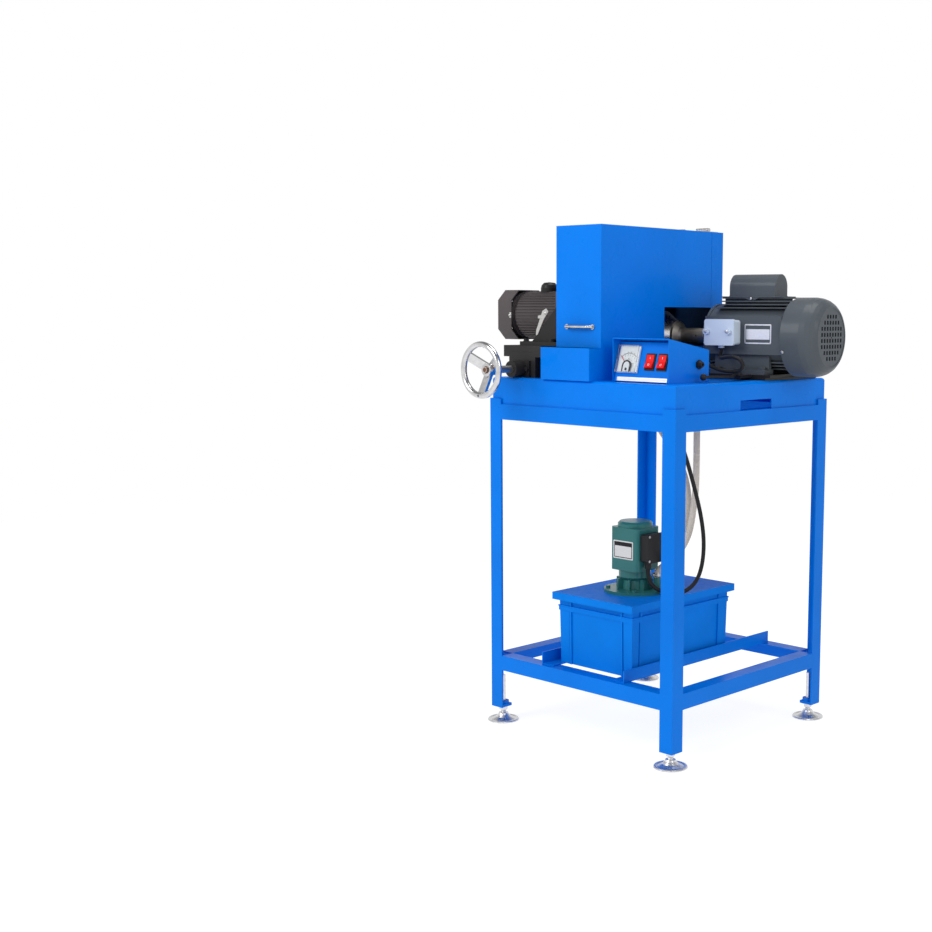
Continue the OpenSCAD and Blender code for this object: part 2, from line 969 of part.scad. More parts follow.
module cup_wheel()
color([0.80, 0.80, 0.82])
place()
motor_frame()
turned_x([[6, 50], [6, cup_r], [12, cup_r], [50, 36], [50, 10], [40, 10],
          [40, 22], [14, 47]]);

module abrasive_ring()
color([0.62, 0.36, 0.32])
place()
motor_frame()
turned_x([[0, 50], [0, cup_r], [6, cup_r], [6, 50]]);

// Clamp lever: stud in the motor plate, long rod and ball end
module lock_lever()
color([0.25, 0.25, 0.26])
place()
{
    motor_frame()
        translate([306, -132, 0]) {
            translate([0, 0, plate_h + 1])
                cylinder(r = 5, h = 14);
            translate([0, 0, foot_h + 0.2])
                cylinder(r = 10, h = 14);
        }
    a = [537.8, 306.3, bed_z + 22];
    m = [557, 260, bed_z + 10];
    b = [569, 136, bed_z + 14];
    cone_between(a, m, 4, 4);
    translate(m)
        sphere(r = 4.8);
    cone_between(m, b, 4, 3.5);
    translate(b)
        sphere(r = 8);
}

// ---- Control box ----

module control_box()
color([0.02, 0.45, 0.92])
place()
difference() {
    box_shape(0, 0);
    box_shape(1.5, 1.5);
    block([box_x + 1.5, box_y - 5, bed_z - 1], [box_x + box_w - 1.5, box_y + 5, bed_z + box_h - 2.2]);
    block([box_x + 1.5, box_y, bed_z - 1], [box_x + box_w - 1.5, box_y + box_d - 1.5, bed_z + 5]);
    cyl_x(box_x + box_w - 5, box_y + 107, bed_z + 42, 8, 10);
    cyl_y(514, box_y + box_d - 5, bed_z + 47, 5.5, 10);
}

// Side profile of the box, shrunk by t, across its width
module box_shape(t, s)
{
    translate([box_x + s, 0, 0])
        rotate([90, 0, 90])
            linear_extrude(box_w - 2 * s)
                polygon([[box_y + t, bed_z], [box_y + box_d - t, bed_z],
                         [box_y + box_d - t, bed_z + box_rear_h - t],
                         [box_y + t, bed_z + box_h - t]]);
}

module control_panel()
color([0.02, 0.47, 0.95])
place()
panel_frame()
difference() {
    block([1.5, 0, -2], [box_w - 1.5, 94, 0]);
    for (x = rocker_x)
        block([x - 12.5, rocker_y - 18.5, -3], [x + 12.5, rocker_y + 18.5, 1]);
    translate([meter_x + meter_w / 2, meter_y + meter_h / 2, -3])
        cylinder(r = 25.5, h = 4);
}

module ammeter_case()
color([0.88, 0.88, 0.90])
place()
panel_frame()
{
    c = [meter_x + meter_w / 2, meter_y + meter_h / 2];
    difference() {
        block([meter_x, meter_y, 0], [meter_x + meter_w, meter_y + meter_h, 3]);
        block([meter_x + 4, meter_y + 4, 2.2], [meter_x + meter_w - 4, meter_y + meter_h - 4, 4]);
    }
    translate([c[0], c[1], -24])
        cylinder(r = 25, h = 25);
    translate([c[0], meter_y + needle_y, 2])
        cylinder(r = 1, h = 4);
}

module ammeter_window()
color([0.85, 0.9, 0.95, 0.3])
place()
panel_frame()
difference() {
    block([meter_x, meter_y, 3], [meter_x + meter_w, meter_y + meter_h, 10]);
    block([meter_x + 1.5, meter_y + 1.5, 2], [meter_x + meter_w - 1.5, meter_y + meter_h - 1.5, 8.5]);
}

module needle()
color([0.8, 0.05, 0.05])
place()
panel_frame()
translate([meter_x + meter_w / 2, meter_y + needle_y, 3.4])
difference() {
    union() {
        cylinder(r = 3, h = 2);
        rotate(135)
            block([0, -0.6, 0.6], [33, 0.6, 1.4]);
    }
    translate([0, 0, -1])
        cylinder(r = 1.05, h = 5);
}

module rocker_bezels()
color([0.05, 0.05, 0.05])
place()
panel_frame()
for (x = rocker_x)
    translate([x, rocker_y, 0])
        difference() {
            union() {
                block([-14.2, -20, 0], [14.2, 20, 2.5]);
                block([-12.3, -18.3, -20], [12.3, 18.3, 1]);
            }
            difference() {
                block([-11.2, -17.3, -17], [11.2, 17.3, 3]);
                for (s = [-1, 1])
                    cyl_x(s * 10.6 - 0.7, 0, -2, 1.2, 1.4);
            }
        }

// Rocker cap: shallow V in profile, tipped to its off position
module rocker(x)
{
    panel_frame()
        translate([x, rocker_y, -2])
            rotate([-9, 0, 0])
                difference() {
                    translate([-10.9, 0, 0])
                        rotate([90, 0, 90])
                            linear_extrude(21.8)
                                polygon([[-12, -8], [12, -8], [15.4, -3], [15.4, 8.6],
                                         [0, 6], [-15.4, 8.6], [-15.4, -3]]);
                    for (s = [-1, 1])
                        cyl_x(s * 10.6 - 1, 0, 0, 1.25, 2);
                }
}

module rocker_left() color([0.85, 0.05, 0.08]) place() rocker(rocker_x[0]);
module rocker_right() color([0.85, 0.05, 0.08]) place() rocker(rocker_x[1]);

module box_gland()
color([0.08, 0.08, 0.08])
place()
translate([box_x + box_w, box_y + 107, bed_z + 42])
rotate([0, 90, 0])
difference() {
    union() {
        translate([0, 0, -10])
            cylinder(r = 7.9, h = 12);
        hex_prism(19, 6);
        translate([0, 0, 6])
            cylinder(r1 = 8.5, r2 = 6, h = 7);
    }
    translate([0, 0, -20])
        cylinder(r = 3, h = 40);
}

// ---- Coolant system ----

// Bulkhead elbow behind the guard, then ball-and-cone segments
hose_pts = [[300, 478, 1188], [300, 462, 1187], [298, 446, 1184],
            [294, 430, 1180], [288, 415, 1175], [281, 401, 1169],
            [273, 388, 1162], [265, 376, 1155], [257, 364, 1147]];
nozzle_a = [257, 364, 1147];
nozzle_b = [229, 322, 1114];

module coolant_hose()
color([0.10, 0.10, 0.75])
place()
{
    cyl_y(300, 476, 1188, 7.4, 40);
    translate([300, 498.5 - 10.5, 1188])
        rotate([-90, 0, 0])
            hex_prism(19, 9);
    cyl_y(300, 500.5, 1188, 11, 8);
    translate([300, 524, 1188])
        sphere(r = 9);
    cyl_y(300, 508, 1188, 8, 16);
    translate([300, 524, 1170])
        cylinder(r = 9, h = 18);
    for (i = [0 : len(hose_pts) - 2])
        cone_between(hose_pts[i], hose_pts[i + 1], 9.5, 6);
}

module coolant_nozzle()
color([0.95, 0.40, 0.05])
place()
difference() {
    union() {
        cone_between(nozzle_a, nozzle_a + 0.35 * (nozzle_b - nozzle_a), 10, 9);
        cone_between(nozzle_a + 0.34 * (nozzle_b - nozzle_a), nozzle_b, 9, 3.5);
    }
    cone_between(nozzle_a - 0.1 * (nozzle_b - nozzle_a), nozzle_b + 0.1 * (nozzle_b - nozzle_a),
                 2.5, 2);
    translate(nozzle_a)
        sphere(r = 7);
}

module supply_hose()
color([0.85, 0.85, 0.84])
place()
    sweep(supply_route, hose_r, 10);

module return_hose()
color([0.85, 0.85, 0.84])
place()
    sweep(return_route, hose_r, 10);

module pump_lead()
color([0.04, 0.04, 0.04])
place()
    sweep(pump_route, 5, 8);

module motor_lead()
color([0.04, 0.04, 0.04])
place()
    sweep(motor_route, 4.5, 8);

// Tapered crate wall from the floor up to the rim
module crate_taper(grow, z0, z1)
{
    x0 = lid_x + 12;
    x1 = lid_x + lid_w - 15;
    y0 = lid_y + 18;
    y1 = lid_y + lid_d - 14;
    hull() {
        translate([x0 - grow, y0 - grow, z1 - 0.5])
            cube([x1 - x0 + 2 * grow, y1 - y0 + 2 * grow, 0.5]);
        translate([x0 + 3 - grow, y0 + 3 - grow, z0])
            cube([x1 - x0 - 6 + 2 * grow, y1 - y0 - 6 + 2 * grow, 0.5]);
    }
}

module tank_body()
color([0.02, 0.50, 0.98])
place()
difference() {
    union() {
        crate_taper(0, tank_z, lid_z - 8);
        intersection() {
            crate_taper(3.5, tank_z, lid_z - 8);
            union() {
                for (x = [lid_x + 44, lid_x + lid_w - 50])
                    block([x, lid_y - 5, tank_z], [x + 6, lid_y + lid_d + 5, lid_z - 9]);
                for (y = [lid_y + 44, lid_y + lid_d - 50])
                    block([lid_x - 5, y, tank_z], [lid_x + lid_w + 5, y + 6, lid_z - 9]);
            }
        }
        intersection() {
            crate_taper(2, tank_z, lid_z - 8);
            for (x = [lid_x, lid_x + lid_w - 42], y = [lid_y, lid_y + lid_d - 42])
                block([x, y, tank_z], [x + 42, y + 42, lid_z - 9]);
        }
        intersection() {
            crate_taper(4, tank_z, lid_z - 8);
            block([0, 0, lid_z - 46], [600, 600, lid_z - 34]);
        }
        intersection() {
            crate_taper(5, tank_z, lid_z - 8);
            block([0, 0, lid_z - 36], [600, 600, lid_z - 33]);
        }
        block([lid_x + 2, lid_y + 2, lid_z - 16], [lid_x + lid_w - 2, lid_y + lid_d - 2, lid_z - 8]);
    }
    crate_taper(-3, tank_z + 3, lid_z - 7);
}

module tank_lid()
color([0.02, 0.47, 0.95])
place()
difference() {
    block([lid_x, lid_y, lid_z - 18], [lid_x + lid_w, lid_y + lid_d, lid_z]);
    block([lid_x + 1.5, lid_y + 1.5, lid_z - 19],
          [lid_x + lid_w - 1.5, lid_y + lid_d - 1.5, lid_z - 8]);
    translate([pump_x, pump_y, lid_z - 20])
        cylinder(r = 44, h = 40);
    translate([380, 260, lid_z - 20])
        cylinder(r = 8.4, h = 40);
}

// Pump: flange, neck with ribs, and the suction body in the tank
module pump_flange()
color([0.13, 0.40, 0.38])
place()
{
    translate([pump_x, pump_y, 0])
        difference() {
            union() {
                rotate_extrude()
                    polygon([[14, lid_z], [pump_r, lid_z], [pump_r, lid_z + 8],
                             [34, lid_z + 8], [32, lid_z + 30], [40, lid_z + 38],
                             [40, lid_z + 56], [14, lid_z + 56]]);
                for (a = [22.5 : 45 : 359])
                    rotate(a)
                        block([30, -2.5, lid_z + 6], [47, 2.5, lid_z + 34]);
                for (a = [40, 130, 220, 310])
                    rotate(a)
                        translate([66, 0, lid_z + 8])
                            hex_prism(10, 5);
                translate([0, 0, lid_z - 150])
                    difference() {
                        cylinder(r = 26, h = 151);
                        translate([0, 0, 14])
                            cylinder(r = 22, h = 140);
                    }
                translate([0, 0, lid_z - 165])
                    difference() {
                        cylinder(r = 38, h = 30);
                        translate([0, 0, 4])
                            cylinder(r = 32, h = 20);
                        translate([0, 0, -1])
                            cylinder(r = 14, h = 10);
                    }
            }
            translate([0, 0, lid_z - 162])
                cylinder(r = 5.05, h = 300);
        }
    translate([383, 199, lid_z + 4])
        cylinder(r = 11, h = 14);
    translate([383, 199, lid_z + 4])
        cylinder(r = 9, h = 35);
}

module pump_motor()
color([0.14, 0.42, 0.40])
place()
translate([pump_x, pump_y, lid_z + 56])
difference() {
    union() {
        linear_extrude(106)
            round_square(88, 88, 12);
        translate([0, 0, 106])
            cylinder(r = 43, h = 9);
        translate([0, 0, 115])
            cylinder(r1 = 43, r2 = 38, h = 5);
    }
    translate([0, 0, 6])
        cylinder(r = 36, h = 104);
    translate([0, 0, -1])
        cylinder(r = 5.05, h = 20);
}

module pump_rotor()
color([0.55, 0.55, 0.57])
place()
translate([pump_x, pump_y, 0])
{
    translate([0, 0, lid_z - 155])
        cylinder(r = 5, h = 316);
    translate([0, 0, lid_z - 160])
        cylinder(r = 26, h = 8);
    translate([0, 0, lid_z + 72])
        cylinder(r = 30, h = 70);
}

module pump_junction_box()
color([0.08, 0.07, 0.08])
place()
{
    translate([pump_x + 44, pump_y, lid_z + 115])
        rotate([90, 0, 90])
            linear_extrude(19)
                round_square(62, 68, 5);
    translate([pump_x + 63, pump_y, lid_z + 115])
        rotate([90, 0, 90])
            linear_extrude(7)
                round_square(66, 72, 5);
    translate([383, 165, lid_z + 66])
        cylinder(r = 8, h = 17);
}

leg_angles();
upper_rails();
lower_rails();
bed_pan();
splash_basin();
rear_guard();
hinge_frame_leaves();
control_box();
control_panel();
ammeter_case();
ammeter_window();
rocker_bezels();
box_gland();
slide_base();
screw_bearing();
swivel_base();
coolant_hose();
supply_hose();
return_hose();
pump_lead();
motor_lead();
tank_body();
tank_lid();
pump_flange();
pump_motor();
pump_junction_box();
foot_front_left();
foot_front_right();
foot_rear_left();
foot_rear_right();
hood();
hood_handle();
hinge_hood_leaves();
saddle();
head_bracket();
head_plate();
gearmotor_body();
gearmotor_fan_cover();
head_fittings();
spindle();
blade();
blade_clamp();
blade_screw();
lead_screw();
handwheel();
motor_plate();
motor_body();
motor_cowl();
capacitor_cover();
terminal_box();
rotor_shaft();
wheel_adapter();
cup_wheel();
abrasive_ring();
lock_lever();
coolant_nozzle();
pump_rotor();
rocker_left();
rocker_right();
needle();
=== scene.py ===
import math

import bmesh
import bpy
from mathutils import Matrix, Vector


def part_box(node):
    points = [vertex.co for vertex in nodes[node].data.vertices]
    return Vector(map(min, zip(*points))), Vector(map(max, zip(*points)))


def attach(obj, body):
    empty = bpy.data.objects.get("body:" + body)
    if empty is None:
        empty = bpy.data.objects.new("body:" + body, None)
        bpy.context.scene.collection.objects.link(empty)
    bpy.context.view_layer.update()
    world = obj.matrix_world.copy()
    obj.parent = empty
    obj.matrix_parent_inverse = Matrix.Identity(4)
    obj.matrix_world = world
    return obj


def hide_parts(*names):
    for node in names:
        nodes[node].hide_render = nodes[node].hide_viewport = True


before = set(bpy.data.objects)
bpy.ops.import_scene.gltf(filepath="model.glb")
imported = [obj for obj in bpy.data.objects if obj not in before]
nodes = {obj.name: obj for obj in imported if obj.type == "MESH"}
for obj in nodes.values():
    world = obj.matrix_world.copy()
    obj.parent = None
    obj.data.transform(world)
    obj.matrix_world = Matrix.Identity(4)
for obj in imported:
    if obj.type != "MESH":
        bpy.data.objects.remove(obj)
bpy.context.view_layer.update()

# ---------------------------------------------------------------- camera

# Lengths in mm start at the stand's front left corner, and heights in mm
# start FLOOR_LEVEL under the floor.
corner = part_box("leg_angles")[0]
FLOOR_LEVEL = 9
BLADE_CENTRE = (218, 175, 1042)
CUP_CENTRE = (218, 400, 992)
MOTOR_TURN = math.radians(7)
PANEL_CORNER = (375, 43, 891)
PANEL_TILT = math.radians(75)

cam_data = bpy.data.cameras.new("camera")
cam_data.lens = 53.74
cam_data.sensor_width = 36
cam_data.shift_x = -0.1562
cam_data.shift_y = 0.0270
camera = bpy.data.objects.new("camera", cam_data)
camera.location = (corner.x + 2.5558, corner.y - 2.3765, 1.0401)
camera.rotation_euler = [math.radians(a) for a in (82.68, -0.33, 42.12)]
bpy.context.scene.collection.objects.link(camera)
bpy.context.scene.camera = camera
bpy.context.scene.view_settings.view_transform = "Standard"

# Local frames in mm: the whole machine, the control panel, the grinding motor
MACHINE = (Matrix.Translation((corner.x, corner.y, -FLOOR_LEVEL / 1000))
           @ Matrix.Scale(0.001, 4))
PANEL = (MACHINE @ Matrix.Translation(PANEL_CORNER)
         @ Matrix.Rotation(PANEL_TILT, 4, "X"))
MOTOR = (MACHINE @ Matrix.Translation(CUP_CENTRE)
         @ Matrix.Rotation(MOTOR_TURN, 4, "Z"))


# ---------------------------------------------------------------- cords

def smooth_route(points, steps=6):
    """Catmull-Rom curve through the points, in metres, and its length."""
    pts = [MACHINE @ Vector(p) for p in points]
    pts = [2 * pts[0] - pts[1]] + pts + [2 * pts[-1] - pts[-2]]
    out = []
    for a, b, c, d in zip(pts, pts[1:], pts[2:], pts[3:]):
        for k in range(steps):
            u = k / steps
            out.append(0.5 * (2 * b + (c - a) * u + (2 * a - 5 * b + 4 * c - d) * u * u
                              + (3 * b - a - 3 * c + d) * u ** 3))
    out.append(pts[-2])
    return out, sum((q - p).length for p, q in zip(out, out[1:]))


def cord(name, node, points, radius):
    """A round cord through the points, in mm, hanging between two fixed ends."""
    line, length = smooth_route(points)
    data = bpy.data.curves.new(name, "CURVE")
    data.dimensions = "3D"
    data.bevel_depth = radius
    data.bevel_resolution = 5
    data.use_fill_caps = True
    spline = data.splines.new("POLY")
    spline.points.add(len(line) - 1)
    for q, p in zip(spline.points, line):
        q.co = (*p, 1)
    spline.use_smooth = True
    obj = bpy.data.objects.new(name, data)
    bpy.context.scene.collection.objects.link(obj)
    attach(obj, "stand")
    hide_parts(node)
    return obj


supply = cord("supply_tube", "supply_hose", [
    (383, 199, 404.3), (383, 199, 410), (389, 201, 424), (412, 210, 446),
    (440, 223, 480),
    (451, 238, 520), (451, 252, 570), (450, 262, 620), (450, 264, 690),
    (450, 264, 760), (449, 268, 815), (440, 290, 846), (412, 345, 853),
    (374, 415, 853), (335, 485, 853), (308, 519, 862), (300, 524, 889),
    (300, 524, 940), (300, 524, 1010), (300, 524, 1080), (300, 524, 1150),
    (300, 524, 1170)], 0.008)
back = cord("return_tube", "return_hose", [
    (258, 300, 847.7), (258, 300, 840), (264, 300, 812), (290, 298, 775), (335, 292, 730),
    (380, 282, 685), (412, 272, 635), (425, 266, 580), (418, 262, 525),
    (400, 260, 470), (386, 260, 420), (380, 260, 385), (380, 260, 340)], 0.008)
pump_cable = cord("pump_cable", "pump_lead", [
    (383, 165, 430.8), (383, 165, 425), (384, 165, 413), (391, 166, 394), (408, 176, 379),
    (430, 196, 372), (456, 216, 376), (480, 230, 402), (495, 234, 445),
    (501, 232, 500), (502, 220, 560), (501, 196, 630), (498, 164, 710),
    (490, 140, 770), (476, 124, 830), (464, 120, 870), (460, 120, 896)], 0.005)
motor_cable = cord("motor_cable", "motor_lead", [
    (468.2, 331.9, 965), (468.2, 331.9, 958), (475, 319, 946), (498, 294, 942),
    (528, 272, 945), (556, 264, 947), (577, 264, 940), (583, 266, 926),
    (572, 266, 914), (550, 260, 912), (530, 246, 916), (519, 222, 926),
    (514, 203, 934), (514, 187, 936)], 0.0045)


# ---------------------------------------------------------------- materials

def new_material(name, color, rough, metallic=0.0, **sockets):
    """A Principled material; sockets are constants on the shader itself."""
    m = bpy.data.materials.new(name)
    m.use_nodes = True
    m.diffuse_color = (*color, 1)
    shader = m.node_tree.nodes["Principled BSDF"]
    shader.inputs["Base Color"].default_value = (*color, 1)
    shader.inputs["Roughness"].default_value = rough
    shader.inputs["Metallic"].default_value = metallic
    for key, value in sockets.items():
        shader.inputs[key.replace("_", " ")].default_value = value
    return m


class Tree:
    """Adds nodes to a material and joins them."""

    def __init__(self, material):
        self.tree = material.node_tree
        self.shader = self.tree.nodes["Principled BSDF"]
        self.coords = self.tree.nodes.new("ShaderNodeTexCoord")

    def node(self, kind, **settings):
        n = self.tree.nodes.new(kind)
        for key, value in settings.items():
            setattr(n, key, value)
        return n

    def link(self, a, b):
        self.tree.links.new(a, b)

    def mapping(self, scale):
        n = self.node("ShaderNodeMapping")
        n.inputs["Scale"].default_value = scale
        self.link(self.coords.outputs["Object"], n.inputs["Vector"])
        return n.outputs["Vector"]

    def noise(self, scale, detail=4, rough=0.5, stretch=None):
        n = self.node("ShaderNodeTexNoise")
        n.inputs["Scale"].default_value = scale
        n.inputs["Detail"].default_value = detail
        n.inputs["Roughness"].default_value = rough
        vector = self.mapping(stretch) if stretch else self.coords.outputs["Object"]
        self.link(vector, n.inputs["Vector"])
        return n.outputs["Fac"]

    def ramp(self, fac, stops):
        n = self.node("ShaderNodeValToRGB")
        ramp = n.color_ramp
        while len(ramp.elements) < len(stops):
            ramp.elements.new(0.5)
        for e, (at, value) in zip(ramp.elements, stops):
            e.position = at
            e.color = (*value, 1) if isinstance(value, tuple) else (value, value, value, 1)
        self.link(fac, n.inputs["Fac"])
        return n.outputs["Color"]

    def color(self, socket):
        self.link(socket, self.shader.inputs["Base Color"])

    def rough(self, socket):
        self.link(socket, self.shader.inputs["Roughness"])

    def bump(self, height, distance, strength):
        n = self.node("ShaderNodeBump")
        n.inputs["Strength"].default_value = strength
        n.inputs["Distance"].default_value = distance
        self.link(height, n.inputs["Height"])
        self.link(n.outputs["Normal"], self.shader.inputs["Normal"])


def shade(c, k):
    """The colour c, k times as bright."""
    return tuple(max(0.0, min(1.0, x * k)) for x in c)


def painted(name, color, rough=0.32, coat=0.35, grain=900, depth=0.00008, vary=0.07,
            specular=0.12):
    """Sprayed enamel: slight orange peel, faint dust and tone changes."""
    m = new_material(name, color, rough, Coat_Weight=coat, Coat_Roughness=0.12,
                     Specular_IOR_Level=specular)
    t = Tree(m)
    tone = t.noise(5, 5)
    t.color(t.ramp(tone, [(0.3, shade(color, 1 - vary)), (0.72, shade(color, 1 + vary))]))
    smear = t.noise(22, 6, 0.65)
    t.rough(t.ramp(smear, [(0.3, rough - 0.05), (0.75, rough + 0.1)]))
    t.bump(t.noise(grain, 3), depth, 0.5)
    return m


def lined(name, node, lo, hi):
    """Sheet paint with painted shade: a mottled dark navy inside a box, where the hollow lies in
    shade.
    """
    m = painted(name, SHEET_BLUE, rough=0.28, coat=0.03, specular=0.06)
    t = Tree(m)
    local = nodes[node].matrix_world.inverted()
    a, b = local @ (MACHINE @ Vector(lo)), local @ (MACHINE @ Vector(hi))
    parts = t.node("ShaderNodeSeparateXYZ")
    t.link(t.coords.outputs["Object"], parts.inputs[0])
    # Mask of the box inside which the painted shade replaces the blue paint
    inside = None
    for k, axis in enumerate("XYZ"):
        near = t.node("ShaderNodeMath", operation="COMPARE")
        t.link(parts.outputs[axis], near.inputs[0])
        near.inputs[1].default_value = (a[k] + b[k]) / 2
        near.inputs[2].default_value = abs(b[k] - a[k]) / 2
        if inside is None:
            inside = near.outputs[0]
        else:
            both = t.node("ShaderNodeMath", operation="MULTIPLY")
            t.link(inside, both.inputs[0])
            t.link(near.outputs[0], both.inputs[1])
            inside = both.outputs[0]
    mix = t.node("ShaderNodeMix", data_type="RGBA")
    t.link(inside, mix.inputs["Factor"])
    paint = t.shader.inputs["Base Color"].links[0].from_socket
    t.link(paint, mix.inputs[6])
    # Painted shade: mottled dark navy that stands in for the shadow inside the box
    painted_shade = t.ramp(t.noise(12, 5, 0.6), [(0.3, (0.003, 0.012, 0.04)), (0.75, (0.008, 0.03, 0.09))])
    t.link(painted_shade, mix.inputs[7])
    t.color(mix.outputs[2])
    return m


def brushed(name, color, rough, axis, lines=900, strength=0.35):
    """Turned or ground metal with fine lines; axis is the stretch along them."""
    m = new_material(name, color, rough, 1.0)
    t = Tree(m)
    lines_fac = t.noise(lines, 4, 0.6, stretch=axis)
    t.color(t.ramp(lines_fac, [(0.25, shade(color, 0.82)), (0.75, shade(color, 1.1))]))
    t.rough(t.ramp(lines_fac, [(0.3, rough - 0.06), (0.7, rough + 0.1)]))
    t.bump(lines_fac, 0.00005, strength)
    return m


def spun(name, color, rough, node, centre, axis, lines=700, strength=0.3):
    """Metal turned or ground about an axis, with fine rings round it."""
    m = new_material(name, color, rough, 1.0)
    t = Tree(m)
    local = nodes[node].matrix_world.inverted()
    start = local @ (MACHINE @ Vector(centre))
    end = local @ (MACHINE @ (Vector(centre) + Vector(axis)))
    away = t.node("ShaderNodeVectorMath", operation="SUBTRACT")
    t.link(t.coords.outputs["Object"], away.inputs[0])
    away.inputs[1].default_value = start
    turn = t.node("ShaderNodeVectorMath", operation="CROSS_PRODUCT")
    t.link(away.outputs["Vector"], turn.inputs[0])
    turn.inputs[1].default_value = (end - start).normalized()
    radius = t.node("ShaderNodeVectorMath", operation="LENGTH")
    t.link(turn.outputs["Vector"], radius.inputs[0])
    rings = t.node("ShaderNodeTexNoise", noise_dimensions="1D")
    rings.inputs["Scale"].default_value = lines
    rings.inputs["Detail"].default_value = 3
    t.link(radius.outputs["Value"], rings.inputs["W"])
    fac = rings.outputs["Fac"]
    t.color(t.ramp(fac, [(0.28, shade(color, 0.8)), (0.72, shade(color, 1.12))]))
    t.rough(t.ramp(t.noise(14, 5, 0.6), [(0.3, rough - 0.06), (0.72, rough + 0.1)]))
    t.bump(fac, 0.00005, strength)
    return m


def moulded(name, color, rough, grain=1500, depth=0.00005, vary=0.06, specular=0.15):
    """Moulded plastic or rubber with a fine grain."""
    m = new_material(name, color, rough, Specular_IOR_Level=specular)
    t = Tree(m)
    t.color(t.ramp(t.noise(9, 4), [(0.3, shade(color, 1 - vary)),
                                   (0.7, shade(color, 1 + vary))]))
    t.rough(t.ramp(t.noise(60, 5), [(0.3, rough - 0.05), (0.7, rough + 0.07)]))
    t.bump(t.noise(grain, 2), depth, 0.5)
    return m


BLUE = (0.0, 0.158, 0.660)
SHEET_BLUE = (0.0, 0.166, 0.690)
frame_paint = painted("frame_paint", BLUE, coat=0.02, specular=0.06)
sheet_paint = painted("sheet_paint", SHEET_BLUE, rough=0.28, coat=0.03, specular=0.06)
black_paint = painted("black_paint", (0.018, 0.017, 0.018), rough=0.42, coat=0.1, vary=0.2)
slide_paint = painted("slide_paint", (0.026, 0.024, 0.025), 0.38, 0.1, 500, 0.0002, 0.3)
motor_paint = painted("motor_paint", (0.068, 0.080, 0.092), 0.42, 0.1, 700, 0.0001, 0.1)
gear_paint = painted("gear_paint", (0.072, 0.062, 0.064), 0.5, 0.05, 700, 0.0001, 0.12)
terminal_paint = painted("terminal_paint", (0.54, 0.62, 0.73), 0.35, 0.1, 600, 0.00008, 0.06)
pump_paint = painted("pump_paint", (0.022, 0.140, 0.138), 0.33, 0.3, 260, 0.0004, 0.16)
# Blue sheet paint with painted shade inside the hood, the splash basin and the rear guard
hood_painted_shade = lined("hood_painted_shade", "hood", (195, 39.2, 900), (338, 455, 1252))
basin_painted_shade = lined("basin_painted_shade", "splash_basin", (181, -1, 890), (338, 499, 965.6))
guard_painted_shade = lined("guard_painted_shade", "rear_guard", (181, 440, 960), (338, 499, 1252))
crate_plastic = moulded("crate_plastic", (0.0, 0.170, 0.66), 0.5, specular=0.05)
black_plastic = moulded("black_plastic", (0.016, 0.016, 0.017), 0.36)
black_rubber = moulded("black_rubber", (0.014, 0.014, 0.015), 0.5)
red_plastic = moulded("red_plastic", (0.75, 0.012, 0.014), 0.22)
white_plastic = moulded("white_plastic", (0.78, 0.79, 0.80), 0.3)
hose_blue = moulded("hose_blue", (0.010, 0.018, 0.52), 0.25)
nozzle_orange = moulded("nozzle_orange", (0.90, 0.13, 0.008), 0.3)
hose_clear = moulded("hose_clear", (0.56, 0.51, 0.45), 0.24)
hose_shader = hose_clear.node_tree.nodes["Principled BSDF"]
hose_shader.inputs["Transmission Weight"].default_value = 0.15
hose_shader.inputs["IOR"].default_value = 1.3
chrome = brushed("chrome", (0.62, 0.62, 0.63), 0.14, (1, 1, 1), 60, 0.05)
zinc = brushed("zinc", (0.74, 0.74, 0.75), 0.3, (1, 1, 1), 120, 0.1)
steel = brushed("steel", (0.52, 0.51, 0.50), 0.32, (0.05, 1, 1), 800)
blade_steel = spun("blade_steel", (0.46, 0.43, 0.41), 0.3, "blade",
                   BLADE_CENTRE, (1, 0, 0), 500)
clamp_alu = spun("clamp_alu", (0.74, 0.74, 0.75), 0.26, "blade_clamp",
                 BLADE_CENTRE, (1, 0, 0), 900)
cup_alu = spun("cup_alu", (0.74, 0.74, 0.75), 0.26, "cup_wheel",
               CUP_CENTRE, (math.cos(MOTOR_TURN), math.sin(MOTOR_TURN), 0), 900)
cast = brushed("cast_steel", (0.42, 0.39, 0.35), 0.5, (1, 1, 1), 300, 0.8)
abrasive = moulded("abrasive", (0.36, 0.14, 0.11), 0.8, 2500, 0.0003, 0.2)
dial_white = moulded("dial_white", (0.86, 0.86, 0.84), 0.45, 2600, 0.00001, 0.02)
label_grey = brushed("label_grey", (0.72, 0.73, 0.75), 0.35, (0.05, 1, 1), 1200, 0.1)
print_black = moulded("print_black", (0.012, 0.012, 0.014), 0.4, 3000, 0.00001, 0.1)
print_white = moulded("print_white", (0.85, 0.82, 0.80), 0.4, 3000, 0.00001, 0.04)
plate_alu = brushed("plate_alu", (0.62, 0.62, 0.64), 0.34, (0.05, 1, 1), 1600, 0.15)
bronze = brushed("bronze", (0.20, 0.10, 0.06), 0.4, (1, 1, 1), 700, 0.3)
weld_paint = painted("weld_paint", BLUE, rough=0.3, coat=0.2, grain=300, depth=0.0003)
window = new_material("window", (0.95, 0.98, 1.0), 0.03, Transmission_Weight=1.0, IOR=1.3)

